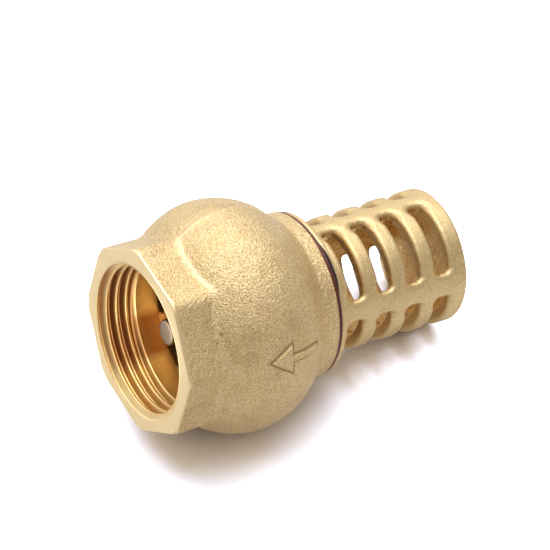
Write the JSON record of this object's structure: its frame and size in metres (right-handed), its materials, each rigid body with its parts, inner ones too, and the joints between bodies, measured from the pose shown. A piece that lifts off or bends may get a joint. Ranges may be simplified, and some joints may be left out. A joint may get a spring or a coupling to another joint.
{
  "type": "foot valve",
  "caption": "Spring-loaded brass foot valve: octagonal threaded outlet, spherical valve chamber with a guided poppet, and a slotted strainer with a closed end.",
  "frame": {"origin": "centre of the strainer's closed end face, at the bottom of the valve as it hangs on a suction pipe", "axes": "+Z along the flow, from the strainer up to the threaded outlet; +X normal to one wrench flat of the octagon"},
  "size_m": [0.0482, 0.0482, 0.07],
  "materials": {
    "cast_brass": "fine sand-cast skin, machined outlet face and thread",
    "strainer_brass": "cast, tumbled smooth",
    "turned_brass": "turned, bright",
    "red_fibre": "dark red vulcanised fibre",
    "stainless": "ground and drawn stainless steel",
    "black_nylon": "moulded black nylon",
    "black_nbr": "matt nitrile rubber",
    "ptfe": "turned PTFE"
  },
  "bodies": {
    "casing": {"valve_body": "cast_brass", "strainer_basket": "strainer_brass", "joint_ring": "red_fibre", "guide_bush": "ptfe"},
    "spring": {"return_spring": "stainless", "spring_seat": "stainless"},
    "poppet": {"poppet_stem": "stainless", "poppet_disc": "black_nylon", "poppet_seal": "black_nbr", "seal_retainer": "turned_brass", "lock_washer": "stainless", "retaining_nut": "turned_brass"}
  },
  "joints": [
    {"name": "poppet_lift", "type": "slide", "parent": "casing", "child": "spring", "axis": [0, 0, 1], "range_m": [0, 0.005], "stiffness_N_per_m": 250, "springref_m": -0.004, "deforming": ["return_spring"]},
    {"name": "poppet_spin", "type": "hinge", "parent": "spring", "child": "poppet", "pos_m": [0, 0, 0.0434], "axis": [0, 0, 1], "continuous": true}
  ]
}
